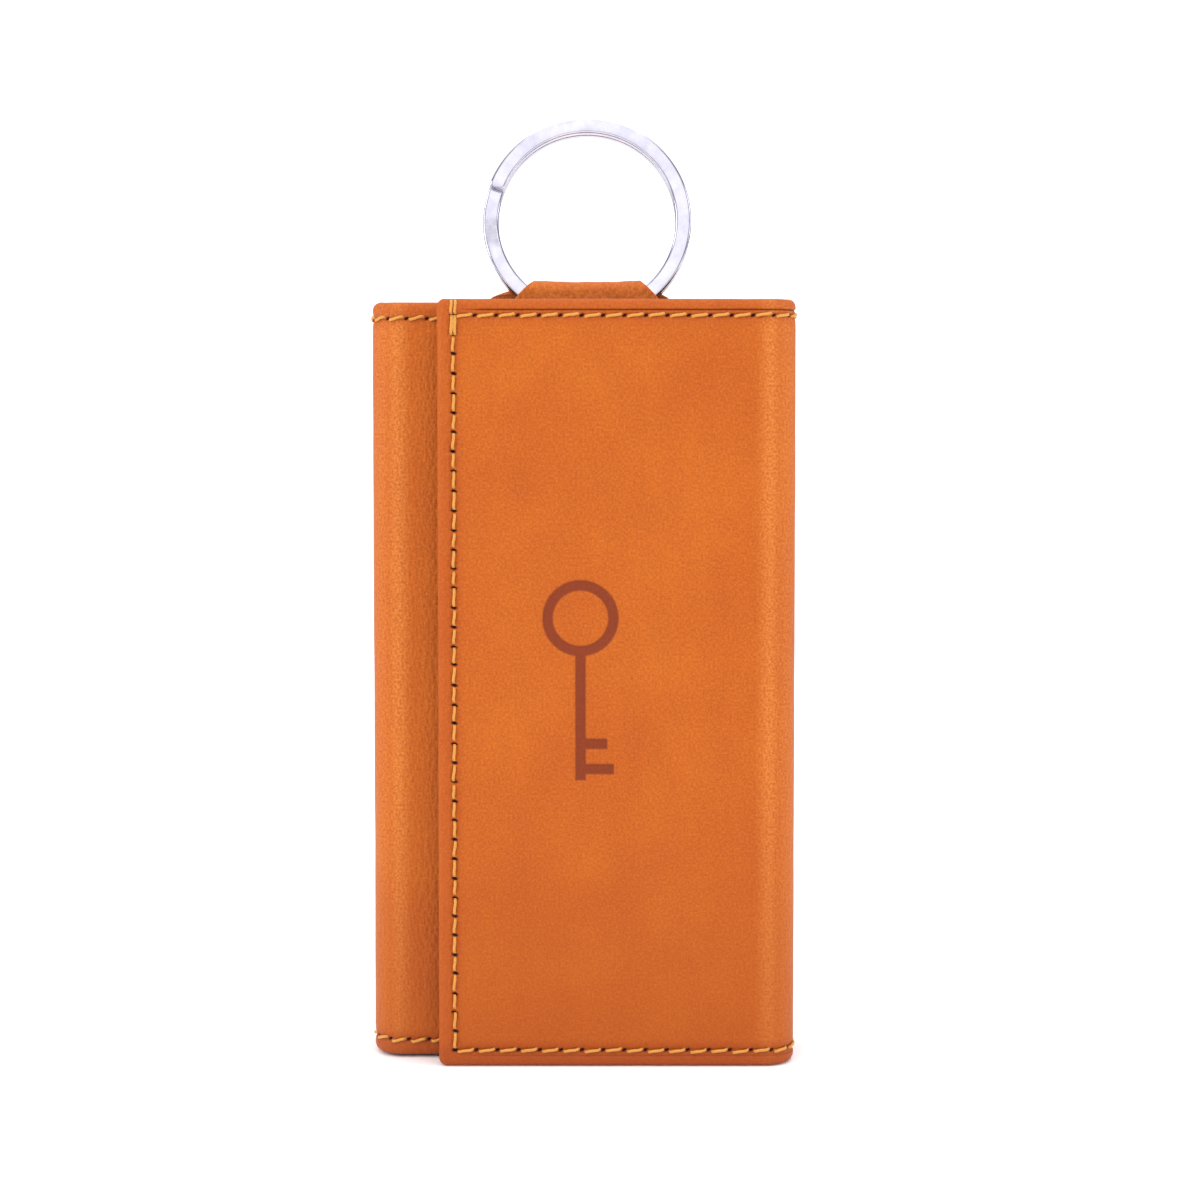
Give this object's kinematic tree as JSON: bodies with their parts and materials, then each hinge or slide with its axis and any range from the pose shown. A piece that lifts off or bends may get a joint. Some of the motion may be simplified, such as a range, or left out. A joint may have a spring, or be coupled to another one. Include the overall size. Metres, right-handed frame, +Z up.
{
  "type": "key organiser",
  "caption": "Tri-fold leather key case closed by hidden press studs, with swivel snap hooks on a bar inside and a split ring on a leather strap at its top.",
  "frame": {"origin": "centre of the closed case's base, on the surface that it stands on", "axes": "+Z up along the case's height, +X towards the fold that the front flap hangs from, -Y out of the front flap"},
  "size_m": [0.0644, 0.0192, 0.1435],
  "materials": {
    "outer_leather": "smooth vegetable-tanned tan leather, semi-matt",
    "lining_leather": "matt brown skiver lining",
    "stiffener_board": "raw fibre board",
    "thread": "waxed mustard polyester thread",
    "nickel_plate": "bright nickel plate",
    "spring_steel": "satin spring steel"
  },
  "bodies": {
    "back": {"back_cover": "outer_leather", "back_board": "stiffener_board", "back_lining": "lining_leather", "back_stitching": "thread", "key_bar": "nickel_plate", "bar_rivets": "nickel_plate", "rivet_washers": "nickel_plate", "strap_anchor": "outer_leather", "strap_tail": "outer_leather", "strap_stitching": "thread"},
    "right_spine": {"right_spine_leather": "outer_leather", "right_spine_lining": "lining_leather", "right_fold_leather": "outer_leather", "right_fold_lining": "lining_leather", "right_spine_stitching": "thread"},
    "front_flap": {"front_flap_cover": "outer_leather", "front_flap_board": "stiffener_board", "front_flap_lining": "lining_leather", "front_flap_stitching": "thread", "stud_caps": "nickel_plate", "stud_sockets": "nickel_plate"},
    "left_spine": {"left_spine_leather": "outer_leather", "left_spine_lining": "lining_leather", "left_fold_leather": "outer_leather", "left_fold_lining": "lining_leather", "left_spine_stitching": "thread"},
    "left_flap": {"left_flap_cover": "outer_leather", "left_flap_board": "stiffener_board", "left_flap_lining": "lining_leather", "left_flap_stitching": "thread", "studs": "nickel_plate", "stud_posts": "nickel_plate"},
    "strap_loop": {"strap_loop": "outer_leather"},
    "ring": {"split_ring": "nickel_plate"},
    "hook_1": {"hook_1": "nickel_plate"},
    "gate_1": {"gate_1": "spring_steel"},
    "hook_2": {"hook_2": "nickel_plate"},
    "gate_2": {"gate_2": "spring_steel"},
    "hook_3": {"hook_3": "nickel_plate"},
    "gate_3": {"gate_3": "spring_steel"},
    "hook_4": {"hook_4": "nickel_plate"},
    "gate_4": {"gate_4": "spring_steel"},
    "hook_5": {"hook_5": "nickel_plate"},
    "gate_5": {"gate_5": "spring_steel"},
    "hook_6": {"hook_6": "nickel_plate"},
    "gate_6": {"gate_6": "spring_steel"}
  },
  "joints": [
    {"name": "right_fold_back", "type": "hinge", "parent": "back", "child": "right_spine", "pos_m": [0.03001, 0.00751, 0.0575], "axis": [0, 0, 1], "range_deg": [0, 90], "deforming": ["right_fold_leather", "right_fold_lining"]},
    {"name": "right_fold_front", "type": "hinge", "parent": "right_spine", "child": "front_flap", "pos_m": [0.03001, -0.00751, 0.0575], "axis": [0, 0, 1], "range_deg": [0, 90], "deforming": ["right_fold_leather", "right_fold_lining"]},
    {"name": "left_fold_back", "type": "hinge", "parent": "back", "child": "left_spine", "pos_m": [-0.03001, 0.00751, 0.0575], "axis": [0, 0, -1], "range_deg": [0, 90], "deforming": ["left_fold_leather", "left_fold_lining"]},
    {"name": "left_fold_front", "type": "hinge", "parent": "left_spine", "child": "left_flap", "pos_m": [-0.03001, -0.00291, 0.0575], "axis": [0, 0, -1], "range_deg": [0, 90], "deforming": ["left_fold_leather", "left_fold_lining"]},
    {"name": "strap_bend", "type": "hinge", "parent": "back", "child": "strap_loop", "pos_m": [0.0006, 0.0023, 0.1143], "axis": [1, 0, 0], "range_deg": [-25, 25], "deforming": ["strap_tail"]},
    {"name": "ring_spin", "type": "hinge", "parent": "strap_loop", "child": "ring", "pos_m": [0.0006, 0.00414, 0.12742], "axis": [0, 0.9903, -0.1392], "continuous": true},
    {"name": "hook_swivel_1", "type": "hinge", "parent": "back", "child": "hook_1", "pos_m": [-0.0185, 0.0028, 0.084], "axis": [0, 0, 1], "continuous": true},
    {"name": "hook_swivel_2", "type": "hinge", "parent": "back", "child": "hook_2", "pos_m": [-0.0111, 0.0028, 0.084], "axis": [0, 0, 1], "continuous": true},
    {"name": "hook_swivel_3", "type": "hinge", "parent": "back", "child": "hook_3", "pos_m": [-0.0037, 0.0028, 0.084], "axis": [0, 0, 1], "continuous": true},
    {"name": "hook_swivel_4", "type": "hinge", "parent": "back", "child": "hook_4", "pos_m": [0.0037, 0.0028, 0.084], "axis": [0, 0, 1], "continuous": true},
    {"name": "hook_swivel_5", "type": "hinge", "parent": "back", "child": "hook_5", "pos_m": [0.0111, 0.0028, 0.084], "axis": [0, 0, 1], "continuous": true},
    {"name": "hook_swivel_6", "type": "hinge", "parent": "back", "child": "hook_6", "pos_m": [0.0185, 0.0028, 0.084], "axis": [0, 0, 1], "continuous": true},
    {"name": "gate_open_1", "type": "hinge", "parent": "hook_1", "child": "gate_1", "pos_m": [-0.0169, 0.0028, 0.0804], "axis": [0, 1, 0], "range_deg": [0, 12], "stiffness_Nm_per_rad": 0.003, "springref_deg": -11.46},
    {"name": "gate_open_2", "type": "hinge", "parent": "hook_2", "child": "gate_2", "pos_m": [-0.0095, 0.0028, 0.0804], "axis": [0, 1, 0], "range_deg": [0, 12], "stiffness_Nm_per_rad": 0.003, "springref_deg": -11.46},
    {"name": "gate_open_3", "type": "hinge", "parent": "hook_3", "child": "gate_3", "pos_m": [-0.0021, 0.0028, 0.0804], "axis": [0, 1, 0], "range_deg": [0, 12], "stiffness_Nm_per_rad": 0.003, "springref_deg": -11.46},
    {"name": "gate_open_4", "type": "hinge", "parent": "hook_4", "child": "gate_4", "pos_m": [0.0053, 0.0028, 0.0804], "axis": [0, 1, 0], "range_deg": [0, 12], "stiffness_Nm_per_rad": 0.003, "springref_deg": -11.46},
    {"name": "gate_open_5", "type": "hinge", "parent": "hook_5", "child": "gate_5", "pos_m": [0.0127, 0.0028, 0.0804], "axis": [0, 1, 0], "range_deg": [0, 12], "stiffness_Nm_per_rad": 0.003, "springref_deg": -11.46},
    {"name": "gate_open_6", "type": "hinge", "parent": "hook_6", "child": "gate_6", "pos_m": [0.0201, 0.0028, 0.0804], "axis": [0, 1, 0], "range_deg": [0, 12], "stiffness_Nm_per_rad": 0.003, "springref_deg": -11.46}
  ],
  "couplings": [
    {"joint": "right_fold_front", "follows": "right_fold_back", "ratio": 1},
    {"joint": "left_fold_back", "follows": "right_fold_back", "ratio": 1},
    {"joint": "left_fold_front", "follows": "right_fold_back", "ratio": 1}
  ]
}
